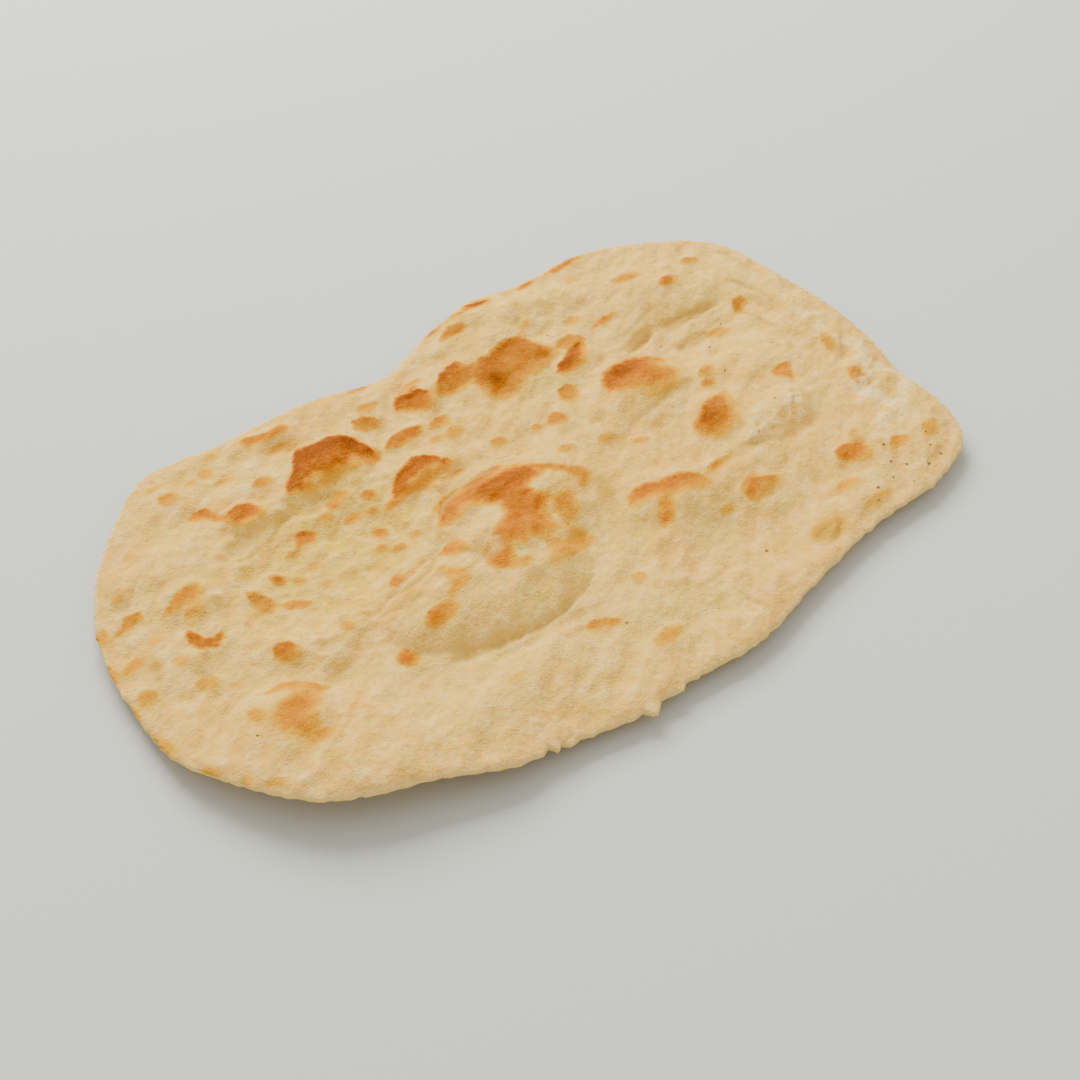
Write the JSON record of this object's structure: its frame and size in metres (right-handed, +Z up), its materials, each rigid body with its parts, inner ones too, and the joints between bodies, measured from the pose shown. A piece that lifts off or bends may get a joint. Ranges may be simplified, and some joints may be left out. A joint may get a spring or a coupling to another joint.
{
  "type": "lavash flatbread",
  "caption": "Thin baked flatbread sheet with an uneven outline, a large raised bubble, small browned blisters, soft folds and a torn stretch of rim, lying flat.",
  "frame": {"origin": "middle of the sheet's bounding box, on the table plane that it rests on", "axes": "+X along the sheet's length towards the end with the pressed folds, +Y across it towards the edge with the notch, +Z up, out of the blistered face"},
  "size_m": [0.3574, 0.2218, 0.0219],
  "materials": {
    "crust": "matt baked flour crust, creamy with amber to dark brown blisters"
  },
  "bodies": {
    "root": {"lavash": "crust"}
  },
  "joints": []
}
